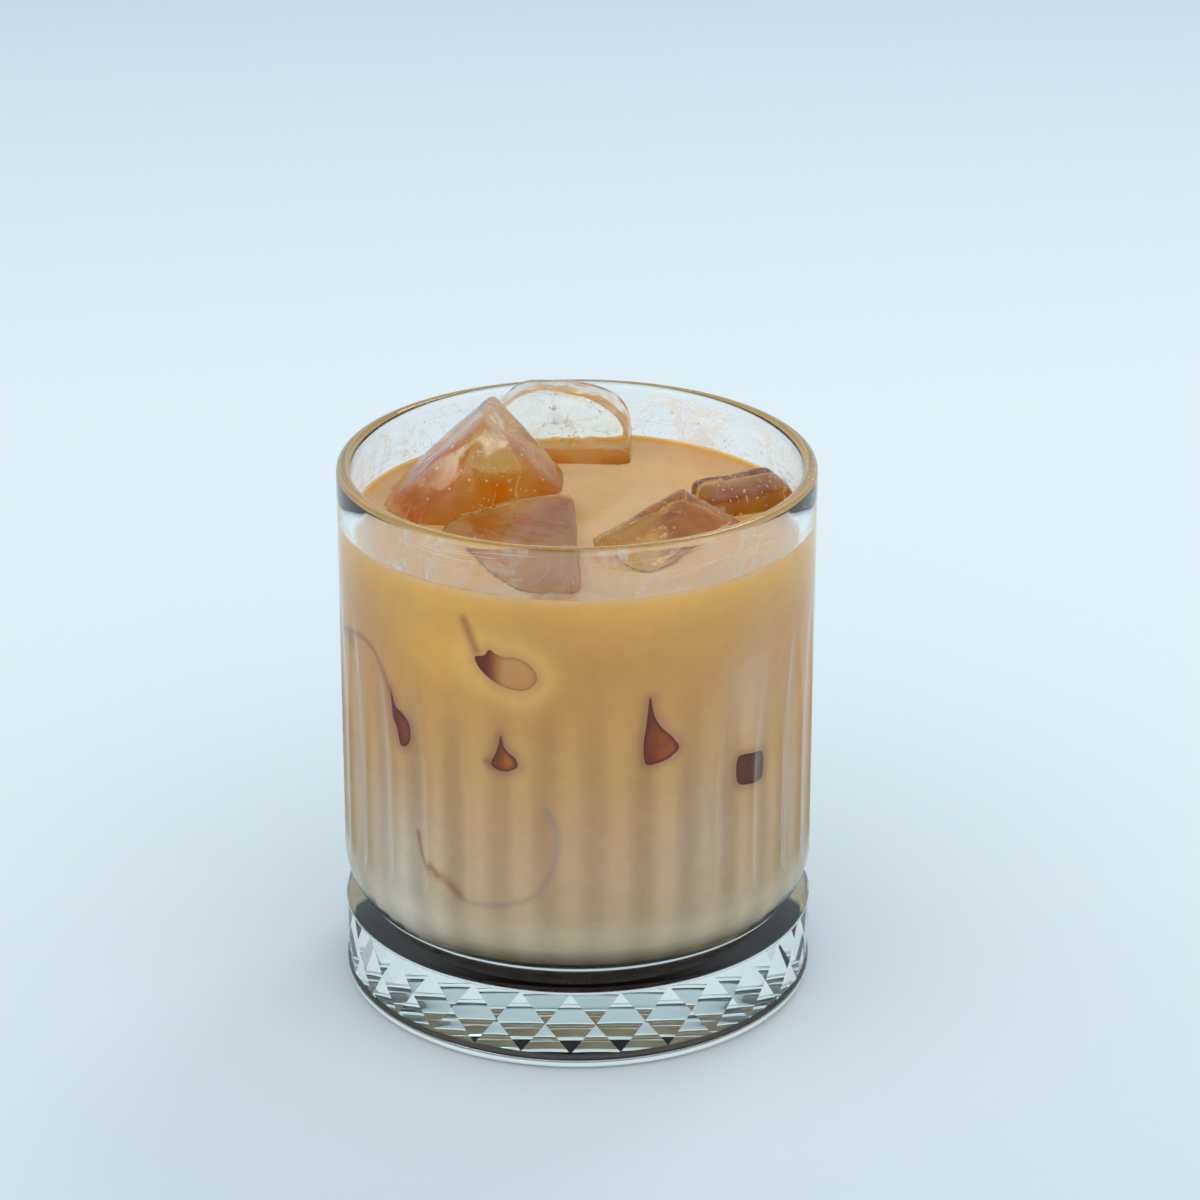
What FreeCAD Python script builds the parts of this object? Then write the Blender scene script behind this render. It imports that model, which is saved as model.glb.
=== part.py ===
"""Iced mocha in its tumbler: a pressed glass, the drink in it and five blocks of ice that float.

Millimetres, +Z up. The origin is the middle of the foot's underside. Angles round the glass are
in degrees from its front (-Y), and grow towards its right (+X).
"""
import FreeCAD, Part
import math
import os

from FreeCAD import Rotation, Vector

# ---- the tumbler
glass_height = 98.0
glass_radius = 42.0            # over the ridges of the body
rim_wall = 2.5
foot_radius = 42.0
foot_height = 15.5             # height of the foot's sharp shoulder
foot_rounding = 1.6            # rounded heel that the foot stands within
neck_pinch = 3.4               # how far the neck is drawn in from the body
neck_rise = 2.3                # height of the neck above the shoulder
body_rise = 7.7                # height of the rounding between the neck and the straight body
cavity_taper = 0.8             # how much the inside narrows from its rim to its corner
floor_rise = 1.0               # height of the inner floor above the neck
cavity_corner = 9.5            # rounding between the inner wall and the floor

# ---- the pattern pressed into the tumbler
repeats = 30                   # flutes, and diamonds of the foot, round the glass
first_point = -1.5             # angle of the first diamond, and of the first ridge of the body
flute_depth = 0.9
flute_curve = 12.8             # radius of the hollow across a flute
flute_margin = 1.0             # height of a flute's round lower end above the start of the body
flute_end = 4.5                # height over which that end reaches its full depth
flute_plain = 21.0             # plain band between the flutes' upper ends and the rim
flute_fade = 27.0              # height over which a flute fades out upwards
flute_clear = 0.4              # how far the cutter draws clear of the wall at both ends
diamond_foot = 3.2             # height of the diamonds' lower points
diamond_margin = 0.6           # how far their upper points lie below the shoulder
facet_clear = 2.0              # how far the facets' cutters reach past the foot

# ---- the drink and the ice
drink_below_rim = 10.5
ice_rounding = 1.5
layout_radius = 39.5           # the blocks below are laid out for a glass this wide inside

# Each block: its size, its middle across, back and up from the middle of the drink's surface, how
# it is turned (about Z, X and Y, in that order) and the flat places broken or melted off it, each as
# the angle it faces, its tilt upwards and its distance from the middle.
ice_blocks = {
    "ice_tall": {
        "size": (27.5, 30.0, 26.0),
        "middle": (-16.8, 9.0, -3.3),
        "turn": (-5.0, -5.0, 48.0),
        "flats": [(-54.0, 43.0, 15.2), (39.0, 9.0, 8.2), (0.0, -50.0, 13.9), (-122.0, 8.0, 18.9)],
    },
    "ice_front": {
        "size": (25.0, 41.0, 16.0),
        "middle": (-12.2, -14.6, -5.8),
        "turn": (2.0, 1.0, 1.0),
        "flats": [(219.0, -9.0, 11.8), (-37.0, 8.0, 16.8), (-58.0, 62.0, 9.0)],
    },
    "ice_back": {
        "size": (25.0, 10.5, 21.0),
        "middle": (-2.4, 30.3, 2.4),
        "turn": (-2.0, -3.0, 3.0),
        "flats": [(78.0, 58.0, 11.3), (84.0, 26.0, 12.8), (-90.0, 50.0, 13.1)],
    },
    "ice_right": {
        "size": (14.5, 27.0, 13.0),
        "middle": (14.6, -12.2, -3.6),
        "turn": (-40.0, 5.0, 13.0),
        "flats": [(-58.0, -28.0, 9.2)],
    },
    "ice_far_right": {
        "size": (16.0, 11.5, 16.0),
        "middle": (29.2, 6.4, -4.1),
        "turn": (22.0, 4.0, -3.0),
        "flats": [],
    },
}

# ---- what follows from these sizes
step = 360.0 / repeats
neck_height = foot_height + neck_rise
body_start = neck_height + body_rise
neck_radius = glass_radius - neck_pinch
cavity_top_radius = glass_radius - rim_wall
cavity_low_radius = cavity_top_radius - cavity_taper
cavity_floor = neck_height + floor_rise
rim_start = glass_height - rim_wall / 2
flute_low = body_start + flute_margin
flute_high = glass_height - flute_plain
diamond_high = foot_height - diamond_margin
diamond_middle = (diamond_foot + diamond_high) / 2
drink_level = glass_height - drink_below_rim
ice_scale = cavity_top_radius / layout_radius


def around(angle, radius, height):
    """The point at an angle round the glass, a radius and a height."""
    turn = math.radians(angle)
    return Vector(radius * math.sin(turn), -radius * math.cos(turn), height)


def line(start, end):
    return Part.LineSegment(Vector(start[0], 0, start[1]), Vector(end[0], 0, end[1])).toShape()


def arc(start, middle, end):
    points = [Vector(point[0], 0, point[1]) for point in (start, middle, end)]
    return Part.Arc(*points).toShape()


def rounded_up(start, end):
    """An arc that sets out level or slanting outwards from start and arrives at end standing upright."""
    across = end[0] - start[0]
    rise = end[1] - start[1]
    radius = (across ** 2 + rise ** 2) / (2 * across)
    half_turn = math.asin(rise / radius) / 2
    centre = end[0] - radius
    middle = (centre + radius * math.cos(half_turn), end[1] - radius * math.sin(half_turn))
    return arc(start, middle, end)


def turned(edges, sweep=360.0):
    """The solid swept about the Z axis by a closed outline of radius and height.

    The sweep starts at the first diamond, in the middle of a ridge, so that no seam crosses a flute.
    """
    face = Part.Face(Part.Wire(edges))
    solid = face.revolve(Vector(0, 0, 0), Vector(0, 0, 1), sweep)
    solid.rotate(Vector(0, 0, 0), Vector(0, 0, 1), first_point - 90)
    return solid


def cavity(top, sweep=360.0):
    """The space inside the tumbler up to a height, where its wall leans out as it does at the rim."""
    slope = (cavity_top_radius - cavity_low_radius) / (glass_height - cavity_floor - cavity_corner)
    wall_foot = (cavity_low_radius, cavity_floor + cavity_corner)
    wall_top = (cavity_low_radius + slope * (top - wall_foot[1]), top)
    floor_edge = (cavity_low_radius - cavity_corner, cavity_floor)
    return turned([
        line((0, cavity_floor), floor_edge),
        rounded_up(floor_edge, wall_foot),
        line(wall_foot, wall_top),
        line(wall_top, (0, top)),
        line((0, top), (0, cavity_floor)),
    ], sweep)


def glass_outside():
    """The tumbler's outer form, before its pattern: foot, neck, body and half of the round rim."""
    heel = (foot_radius - foot_rounding, 0)
    heel_top = (foot_radius, foot_rounding)
    shoulder = (foot_radius, foot_height)
    neck = (neck_radius, neck_height)
    body_foot = (glass_radius, body_start)
    return turned([
        line((0, 0), heel),
        rounded_up(heel, heel_top),
        line(heel_top, shoulder),
        line(shoulder, neck),
        rounded_up(neck, body_foot),
        line(body_foot, (glass_radius, rim_start)),
        line((glass_radius, rim_start), (0, rim_start)),
        line((0, rim_start), (0, 0)),
    ], step)


def rim():
    """The rounded upper half of the rim, a ring above the straight wall."""
    inner = cavity_top_radius
    return turned([
        arc((glass_radius, rim_start), (glass_radius - rim_wall / 2, glass_height), (inner, rim_start)),
        line((inner, rim_start), (glass_radius, rim_start)),
    ], step)


def flute_cutter(angle):
    """A spindle outside the body that hollows one flute and tapers out of the wall at both ends."""
    full_low = flute_low + flute_end
    full_high = flute_high - flute_fade
    clear = flute_curve - flute_depth - flute_clear
    spindle = turned([
        line((0, flute_low), (clear, flute_low)),
        line((clear, flute_low), (flute_curve, full_low)),
        line((flute_curve, full_low), (flute_curve, full_high)),
        line((flute_curve, full_high), (clear, flute_high)),
        line((clear, flute_high), (0, flute_high)),
        line((0, flute_high), (0, flute_low)),
    ])
    spindle.translate(around(angle, glass_radius - flute_depth + flute_curve, 0))
    return spindle


def facet_cutter(angle, outline):
    """A prism that planes one flat facet of the foot: an outline of radius and height, run across."""
    half_width = foot_radius * math.tan(math.radians(step))
    points = [Vector(radius, -half_width, height) for radius, height in outline]
    prism = Part.Face(Part.makePolygon(points + points[:1])).extrude(Vector(0, 2 * half_width, 0))
    prism.rotate(Vector(0, 0, 0), Vector(0, 0, 1), angle - 90)
    return prism


def facet_cutters():
    """The cutters of one repeat: the diamonds at its two sides, a triangle above and one below between.

    A diamond's flat face touches the foot's full radius at its two side corners. Its top and bottom
    points lie at the middle of that face, so the triangles' faces lean in from the side corners to
    them.
    """
    half = math.radians(step / 2)
    face = foot_radius * math.cos(half)
    lean = face * math.cos(half)
    past = foot_radius + facet_clear
    middle = (foot_radius, diamond_middle)
    diamond = [(face, diamond_foot), (past, diamond_foot), (past, diamond_high), (face, diamond_high)]
    upper = [middle, (past, diamond_middle), (past, diamond_high), (lean, diamond_high)]
    lower = [middle, (lean, diamond_foot), (past, diamond_foot), (past, diamond_middle)]
    return [
        facet_cutter(first_point, diamond),
        facet_cutter(first_point + step, diamond),
        facet_cutter(first_point + step / 2, upper),
        facet_cutter(first_point + step / 2, lower),
    ]


def tumbler():
    """The pressed glass, made of one wedge for each repeat of its pattern.

    A wedge reaches from the middle of one ridge to the middle of the next. It is the outer form less
    the cavity, one flute and the facets below it.
    """
    wedge = glass_outside().fuse(rim())
    wedge = wedge.cut(cavity(rim_start, step))
    wedge = wedge.cut([flute_cutter(first_point + step / 2)] + facet_cutters())
    wedges = []
    for index in range(repeats):
        copy = wedge.copy()
        copy.rotate(Vector(0, 0, 0), Vector(0, 0, 1), index * step)
        wedges.append(copy)
    return wedges[0].fuse(wedges[1:])


def ice_block(size, middle, turn, flats):
    """A block of ice: a box with flat places taken off it, and every edge melted round."""
    half = Vector(*size) * 0.5
    block = Part.makeBox(*size, half * -1)
    yaw = Rotation(Vector(0, 0, 1), turn[0])
    pitch = Rotation(Vector(1, 0, 0), turn[1])
    roll = Rotation(Vector(0, 1, 0), turn[2])
    block.Placement = FreeCAD.Placement(Vector(0, 0, 0), yaw.multiply(pitch).multiply(roll))
    reach = sum(size)
    for angle, tilt, distance in flats:
        lean = math.radians(tilt)
        facing = around(angle, math.cos(lean), math.sin(lean))
        waste = Part.makeBox(reach, reach, reach, Vector(-reach / 2, -reach / 2, 0))
        waste.Placement = FreeCAD.Placement(facing * distance, Rotation(Vector(0, 0, 1), facing))
        block = block.cut(waste)
    block = block.makeFillet(ice_rounding, block.Edges)
    block.scale(ice_scale)
    block.translate(Vector(*middle) * ice_scale + Vector(0, 0, drink_level))
    return block


def drink(blocks):
    """The drink: what fills the tumbler up to its level, round the blocks."""
    return cavity(drink_level).cut(list(blocks.values()))


def main():
    os.makedirs("parts", exist_ok=True)
    blocks = {name: ice_block(**shape) for name, shape in ice_blocks.items()}
    pieces = {"glass": tumbler(), "drink": drink(blocks), **blocks}
    for name, shape in pieces.items():
        shape.exportStep(f"parts/{name}.step")
        print(name, "solids", len(shape.Solids), "valid", shape.isValid(), "cm3", round(shape.Volume / 1000, 2))


main()
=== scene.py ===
"""Iced mocha in a pressed tumbler: glass, drink, sunken and floating ice, on a pale table.

Lengths in the piece sections are millimetres and angles are degrees round the glass from its front
(-Y), growing towards its right (+X). Pieces are built at the origin and scaled to metres once.
"""

import bmesh
import bpy
import numpy as np
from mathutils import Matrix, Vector


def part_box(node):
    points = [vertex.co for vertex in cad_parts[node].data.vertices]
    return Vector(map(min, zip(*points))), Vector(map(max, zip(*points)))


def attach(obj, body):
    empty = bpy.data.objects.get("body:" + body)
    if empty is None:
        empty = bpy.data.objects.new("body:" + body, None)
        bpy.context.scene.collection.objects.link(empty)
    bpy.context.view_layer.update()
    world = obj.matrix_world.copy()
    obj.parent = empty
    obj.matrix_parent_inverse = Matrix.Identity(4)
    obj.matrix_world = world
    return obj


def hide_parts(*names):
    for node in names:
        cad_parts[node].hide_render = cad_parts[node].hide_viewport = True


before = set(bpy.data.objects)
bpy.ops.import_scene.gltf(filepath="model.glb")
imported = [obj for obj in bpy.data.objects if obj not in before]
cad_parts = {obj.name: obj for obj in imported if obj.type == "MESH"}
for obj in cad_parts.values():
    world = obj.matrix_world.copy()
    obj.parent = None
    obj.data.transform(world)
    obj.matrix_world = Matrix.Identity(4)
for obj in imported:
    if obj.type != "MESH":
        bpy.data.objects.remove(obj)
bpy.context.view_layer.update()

MM = 0.001

# ================================================================= the glass
# A pressed tumbler of clear soda glass: heavy foot cut with diamonds, a pinched neck and a straight
# body with thirty hollow flutes that fade out below the fire-polished rim.

glass_top = np.array(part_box("glass")[1]) / MM
HEIGHT = glass_top[2]
OUTSIDE = glass_top[0]          # radius over the ridges of the body, and of the foot
WALL = 2.5                      # at the rim
INSIDE_TOP = OUTSIDE - WALL     # radius of the inner wall at the rim
INSIDE_LOW = 38.7               # radius of the inner wall above its rounded corner
FLOOR = 18.8                    # height of the inner floor
CORNER = 9.5                    # rounding between the inner wall and the floor
HEEL = 1.9                      # rounding of the foot's lower edge
SHOULDER = 15.5                 # height of the foot's sharp shoulder
NECK = (38.6, 17.8)             # radius and height of the neck
BODY_START = 25.5               # height where the body stands upright
FLUTES = 30
STEP = 360 / FLUTES             # angle from one flute to the next
FIRST_RIDGE = -1.5              # angle of the ridge, and of the diamond, next to the front


def new_piece(name, points, *face_groups, flat=None):
    """A mesh object from points in millimetres and arrays of faces with equal numbers of corners."""
    mesh = bpy.data.meshes.new(name)
    mesh.vertices.add(len(points))
    mesh.vertices.foreach_set("co", (np.asarray(points) * MM).astype(np.float32).ravel())
    corners = np.concatenate([group.ravel() for group in face_groups])
    sizes = np.concatenate([np.full(len(group), group.shape[1]) for group in face_groups])
    mesh.loops.add(len(corners))
    mesh.loops.foreach_set("vertex_index", corners.astype(np.int32))
    mesh.polygons.add(len(sizes))
    mesh.polygons.foreach_set("loop_start", (np.cumsum(sizes) - sizes).astype(np.int32))
    smooth = np.ones(len(sizes), bool)
    if flat is not None:
        smooth[:len(flat)] = ~flat
    mesh.polygons.foreach_set("use_smooth", smooth)
    mesh.update(calc_edges=True)
    piece = bpy.data.objects.new(name, mesh)
    bpy.context.scene.collection.objects.link(piece)
    return piece


def turned_points(radius, height, angles):
    """Points of a turned form: (r sin a, -r cos a, z) for each row of the outline and each angle a."""
    turn = np.radians(angles)
    x = radius * np.sin(turn)
    y = -radius * np.cos(turn)
    z = height + 0 * x
    return np.stack([x, y, z], axis=-1)


def closed_grid(name, grid, split=None, flat_rows=None):
    """A closed form from a grid of points that is joined round its columns.

    The first and last rows are single points. split says, for each quad of the grid, whether it is cut
    along its rising diagonal (1), along its falling one (2) or left whole (0). flat_rows marks the
    rows of cut faces that are shaded flat.
    """
    rows, columns = grid.shape[:2]
    points = np.concatenate([grid[0, :1], grid[1:-1].reshape(-1, 3), grid[-1, :1]])
    across = np.arange(columns)
    beside = (across + 1) % columns
    base = 1 + columns * np.arange(rows - 3)[:, None]
    quads = np.stack([base + across, base + beside, base + columns + beside, base + columns + across], -1)
    first = np.stack([np.zeros(columns, int), 1 + beside, 1 + across], -1)
    last_row = 1 + columns * (rows - 3)
    last = np.stack([last_row + across, last_row + beside, np.full(columns, len(points) - 1)], -1)
    if split is None:
        return new_piece(name, points, quads.reshape(-1, 4), first, last)
    rising = quads[split == 1]
    falling = quads[split == 2]
    whole = quads[split == 0]
    marks = np.broadcast_to(flat_rows[:, None], quads.shape[:2])
    flat = np.concatenate([marks[split == 1], marks[split == 1], marks[split == 2], marks[split == 2]])
    groups = [rising[:, [0, 1, 2]], rising[:, [0, 2, 3]], falling[:, [0, 1, 3]], falling[:, [1, 2, 3]]]
    return new_piece(name, points, *groups, whole, first, last, flat=flat)


def arc_rows(start, end, centre, count):
    """Points of an arc from start to end about a centre, without its first point."""
    start, end, centre = (np.asarray(point, float) for point in (start, end, centre))
    first = np.arctan2(*(start - centre)[::-1])
    last = np.arctan2(*(end - centre)[::-1])
    turn = np.linspace(first, last, count + 1)[1:]
    reach = np.hypot(*(start - centre))
    return centre + reach * np.stack([np.cos(turn), np.sin(turn)], -1)


def line_rows(start, end, count):
    """Points along a straight run, without its first point."""
    part = np.linspace(0, 1, count + 1)[1:, None]
    return np.asarray(start) + part * (np.asarray(end) - np.asarray(start))


def soft_least(one, other, blend):
    """The lesser of two values, rounded where they cross: h = clip(1/2 + (b - a) / 2k, 0, 1)."""
    part = np.clip(0.5 + 0.5 * (other - one) / blend, 0, 1)
    return other * (1 - part) + one * part - blend * part * (1 - part)


def inside_radius(height):
    """Radius of the tumbler's inner wall above its rounded corner."""
    slope = (INSIDE_TOP - INSIDE_LOW) / (HEIGHT - FLOOR - CORNER)
    return INSIDE_LOW + slope * (height - FLOOR - CORNER)


COLUMNS_PER_FACET = 11          # across half a diamond
column = np.arange(2 * FLUTES * COLUMNS_PER_FACET)
angles = FIRST_RIDGE + STEP / (2 * COLUMNS_PER_FACET) * column
DIAMOND_LOW = 3.2
DIAMOND_HIGH = 14.9
DIAMOND_MIDDLE = (DIAMOND_LOW + DIAMOND_HIGH) / 2
half_step = np.radians(STEP / 2)
FACE = OUTSIDE * np.cos(half_step)      # distance of a diamond's flat face from the axis
LEAN = FACE * np.cos(half_step)         # distance of a triangle's outer edge from the axis

# heights of rows, chosen so that a diamond's edges run exactly along the grid's diagonals
steps_aside = half_step * np.arange(COLUMNS_PER_FACET + 1) / COLUMNS_PER_FACET
share = (OUTSIDE - FACE * np.cos(half_step - steps_aside) / np.cos(steps_aside)) / (OUTSIDE - LEAN)
lower_heights = DIAMOND_MIDDLE - (DIAMOND_MIDDLE - DIAMOND_LOW) * share
upper_heights = DIAMOND_MIDDLE + (DIAMOND_HIGH - DIAMOND_MIDDLE) * share[::-1]
facet_heights = np.concatenate([lower_heights, upper_heights[1:]])

FACET_STEP = 0.02               # height of the small step above and below the facets
FLUTES_TOP = 79.0               # rows stand close together up to here
RIM_START = HEIGHT - WALL / 2
shoulder_low = (OUTSIDE, SHOULDER - 0.25)
shoulder_high = (OUTSIDE - 0.28, SHOULDER + 0.12)
shoulder_middle = (OUTSIDE - 0.33, SHOULDER - 0.22)
neck_reach = ((OUTSIDE - NECK[0]) ** 2 + (BODY_START - NECK[1]) ** 2) / (2 * (OUTSIDE - NECK[0]))
wall_foot = (INSIDE_LOW, FLOOR + CORNER)
floor_edge = (INSIDE_LOW - CORNER, FLOOR)
corner_middle = (INSIDE_LOW - CORNER, FLOOR + CORNER)

# radius and height along the outline, from the middle of the underside to the middle of the floor
outline = np.concatenate([
    [(0.0, 0.0)],
    line_rows((0.0, 0.0), (OUTSIDE - HEEL, 0.0), 5),
    arc_rows((OUTSIDE - HEEL, 0.0), (OUTSIDE, HEEL), (OUTSIDE - HEEL, HEEL), 6),
    [(OUTSIDE, DIAMOND_LOW - FACET_STEP)],
    np.stack([np.full(len(facet_heights), OUTSIDE), facet_heights], -1),
    [(OUTSIDE, DIAMOND_HIGH + FACET_STEP), shoulder_low],
    arc_rows(shoulder_low, shoulder_high, shoulder_middle, 4),
    line_rows(shoulder_high, (NECK[0] + 0.25, NECK[1] - 0.17), 4),
    [(NECK[0] + 0.07, NECK[1] - 0.02), (NECK[0] + 0.05, NECK[1] + 0.1)],
    arc_rows(NECK, (OUTSIDE, BODY_START), (OUTSIDE - neck_reach, BODY_START), 12)[1:],
    line_rows((OUTSIDE, BODY_START), (OUTSIDE, FLUTES_TOP), 36),
    line_rows((OUTSIDE, FLUTES_TOP), (OUTSIDE, RIM_START), 4),
    arc_rows((OUTSIDE, RIM_START), (INSIDE_TOP, RIM_START), (OUTSIDE - WALL / 2, RIM_START), 12),
    line_rows((INSIDE_TOP, RIM_START), wall_foot, 14),
    arc_rows(wall_foot, floor_edge, corner_middle, 8),
    line_rows(floor_edge, (0.0, FLOOR), 3),
])
row_radius = outline[:, :1]
row_height = outline[:, 1:]
outer_rows = np.arange(len(outline))[:, None] < np.argmax(row_height > RIM_START - 0.01)
from_ridge = (angles - FIRST_RIDGE + STEP / 2) % STEP - STEP / 2
from_flute = np.radians(STEP / 2 - np.abs(from_ridge))
from_ridge = np.radians(np.abs(from_ridge))

# flat facets of the foot: upright diamonds below the ridges, leaning triangles between them
foot_rows = (row_height >= DIAMOND_LOW - 0.001) & (row_height <= DIAMOND_HIGH + 0.001) & outer_rows
rise = np.abs(row_height - DIAMOND_MIDDLE) / (DIAMOND_HIGH - DIAMOND_MIDDLE)
triangle = (OUTSIDE - (OUTSIDE - LEAN) * rise) / np.cos(from_flute)
facets = np.minimum(np.minimum(FACE / np.cos(from_ridge), triangle), OUTSIDE)

# flutes: the hollow left by a round cutter that draws out of the wall at both ends
FLUTE_CURVE = 12.8              # radius of the hollow across a flute
FLUTE_DEPTH = 0.9
RIDGE_SOFTNESS = 0.10
cutter_heights = [26.3, 27.2, 28.6, 31.0, 52.0, 66.0, 78.0]
cutter_depths = [-0.5, 0.0, 0.55, FLUTE_DEPTH, FLUTE_DEPTH, 0.35, -0.1]
depth_here = np.interp(row_height, cutter_heights, cutter_depths)
cutter_axis = OUTSIDE - FLUTE_DEPTH + FLUTE_CURVE
cutter = cutter_axis - OUTSIDE + depth_here
hollow = cutter_axis * np.cos(from_flute) - np.sqrt(cutter ** 2 - (cutter_axis * np.sin(from_flute)) ** 2)
fluted = soft_least(hollow, np.full_like(hollow, OUTSIDE), RIDGE_SOFTNESS)
flute_rows = (row_height > BODY_START + 0.5) & (row_height < FLUTES_TOP + 0.5) & outer_rows

radius = np.where(foot_rows, facets, np.where(flute_rows, fluted, row_radius))
quad_rows = np.arange(1, len(outline) - 2)
faceted = foot_rows[quad_rows, 0] & foot_rows[quad_rows + 1, 0]
above_middle = row_height[quad_rows, 0] > DIAMOND_MIDDLE - 0.001
right_of_ridge = column % (2 * COLUMNS_PER_FACET) < COLUMNS_PER_FACET
rising = above_middle[:, None] != right_of_ridge[None, :]
split = np.where(faceted[:, None], np.where(rising, 1, 2), 0)
glass = closed_grid("tumbler", turned_points(radius, row_height, angles), split, faceted)


def new_material(name):
    """A material of one Principled shader; returns the material, its shader and its output."""
    material = bpy.data.materials.new(name)
    material.use_nodes = True
    nodes = material.node_tree.nodes
    nodes.clear()
    shader = nodes.new("ShaderNodeBsdfPrincipled")
    output = nodes.new("ShaderNodeOutputMaterial")
    material.node_tree.links.new(shader.outputs["BSDF"], output.inputs["Surface"])
    return material, shader, output


def add_node(tree, kind, settings=(), inputs=(), values=()):
    """A node with its settings made, its inputs linked from sockets and its other inputs given values."""
    node = tree.nodes.new(kind)
    for key, value in dict(settings).items():
        setattr(node, key, value)
    for key, socket in dict(inputs).items():
        tree.links.new(socket, node.inputs[key])
    for key, value in dict(values).items():
        node.inputs[key].default_value = value
    return node


def to_linear(display):
    """Linear light of display values from 0 to 1."""
    return np.where(display <= 0.04045, display / 12.92, ((display + 0.055) / 1.055) ** 2.4)


def linear(red, green, blue):
    """The linear colour of a display colour given as 0 to 255."""
    return tuple(to_linear(np.array([red, green, blue]) / 255)) + (1.0,)


clear_glass, shader, output = new_material("clear_glass")
shader.inputs["Base Color"].default_value = (0.985, 0.995, 0.99, 1)
shader.inputs["Roughness"].default_value = 0.0
shader.inputs["IOR"].default_value = 1.5
shader.inputs["Transmission Weight"].default_value = 1.0
tree = clear_glass.node_tree
green_tint = add_node(tree, "ShaderNodeVolumeAbsorption",
                      values={"Color": (0.74, 0.86, 0.84, 1), "Density": 4.0})
tree.links.new(green_tint.outputs["Volume"], output.inputs["Volume"])
glass.data.materials.append(clear_glass)


def belongs(piece, node=None):
    """The piece rides on the root body and stands for a node where it has one."""
    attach(piece, "root")
    if node:
        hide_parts(node)
    return piece


belongs(glass, "glass")

# ================================================================= shapes of the floating ice
# Blocks of clear ice with flat places broken or melted off and every edge melted round. The same
# shapes first open pockets in the drink and are then built as pieces.

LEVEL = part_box("drink")[1][2] / MM
CUBE_NORMALS = np.concatenate([np.eye(3), -np.eye(3)])


def facing(angle, tilt):
    """Unit vector at an angle a round the glass, tilted upwards by t: (sin a cos t, -cos a cos t, sin t)."""
    turn, lean = np.radians(angle), np.radians(tilt)
    return np.array([np.sin(turn) * np.cos(lean), -np.cos(turn) * np.cos(lean), np.sin(lean)])


def turned_matrix(yaw, pitch, roll):
    """Rotation about Z, then X, then Y, in the block's own frame."""
    a, b, c = np.radians([yaw, pitch, roll])
    about_z = np.array([[np.cos(a), -np.sin(a), 0], [np.sin(a), np.cos(a), 0], [0, 0, 1]])
    about_x = np.array([[1, 0, 0], [0, np.cos(b), -np.sin(b)], [0, np.sin(b), np.cos(b)]])
    about_y = np.array([[np.cos(c), 0, np.sin(c)], [0, 1, 0], [-np.sin(c), 0, np.cos(c)]])
    return about_z @ about_x @ about_y


# each block's size, its middle from the middle of the drink's surface, its turn (yaw, pitch and roll)
# and its flat places, each as the angle it faces, its tilt and its distance from the middle
ICE = {
    "ice_tall": ((27.5, 30.0, 26.0), (-16.8, 9.0, -3.3), (-5.0, -5.0, 48.0),
                 [(-54.0, 43.0, 15.2), (39.0, 9.0, 8.2), (0.0, -50.0, 13.9), (-122.0, 8.0, 18.9)]),
    "ice_front": ((25.0, 41.0, 16.0), (-12.2, -14.6, -5.8), (2.0, 1.0, 1.0),
                  [(219.0, -9.0, 11.8), (-37.0, 8.0, 16.8), (-58.0, 62.0, 9.0)]),
    "ice_back": ((25.0, 10.5, 21.0), (-2.4, 30.3, 2.4), (-2.0, -3.0, 3.0),
                 [(78.0, 58.0, 11.3), (84.0, 26.0, 12.8), (-90.0, 50.0, 13.1)]),
    "ice_right": ((14.5, 27.0, 13.0), (14.6, -12.2, -3.6), (-40.0, 5.0, 13.0), [(-58.0, -28.0, 9.2)]),
    "ice_far_right": ((16.0, 11.5, 16.0), (29.2, 6.4, -4.1), (22.0, 4.0, -3.0), []),
}


def block_planes(name):
    """Middle of one block, and the outward normals and distances of its flat faces."""
    size, middle, turn, flats = ICE[name]
    normals = CUBE_NORMALS @ turned_matrix(*turn).T
    distances = np.tile(np.array(size) / 2, 2)
    normals = np.concatenate([normals] + [facing(angle, tilt)[None] for angle, tilt, _ in flats])
    distances = np.concatenate([distances, [distance for _, _, distance in flats]])
    return np.array(middle) + (0, 0, LEVEL), normals, distances


def block_reach(directions, normals, distances, sharpness):
    """Reach of a rounded block: (sum of max(0, n.d / distance)^p)^(-1/p) along each direction d."""
    facing_part = np.maximum(directions @ normals.T, 0) / distances
    return (facing_part ** sharpness).sum(-1) ** (-1 / sharpness)


def waves(points, seed, scale, count=14):
    """Smooth noise from -1 to 1: the mean of sines of random direction and about one wavelength."""
    random = np.random.default_rng(seed)
    direction = random.normal(size=(count, 3))
    direction /= np.linalg.norm(direction, axis=1, keepdims=True)
    pace = 2 * np.pi / scale * random.uniform(0.6, 1.6, count)
    phase = random.uniform(0, 2 * np.pi, count)
    full_range = 2.2
    return np.sin(points @ (direction * pace[:, None]).T + phase).mean(-1) * full_range


def unit_sphere(fineness):
    """Directions and triangles of a sphere of nearly even triangles."""
    ball = bmesh.new()
    bmesh.ops.create_icosphere(ball, subdivisions=fineness, radius=1.0)
    directions = np.array([vertex.co for vertex in ball.verts])
    triangles = np.array([[vertex.index for vertex in face.verts] for face in ball.faces])
    ball.free()
    return directions / np.linalg.norm(directions, axis=1, keepdims=True), triangles


SHARPNESS = 18.0                # of the blocks' edges
THIN_SHARPNESS = 13.0           # of the edges of a block less than 12 mm thick


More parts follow.
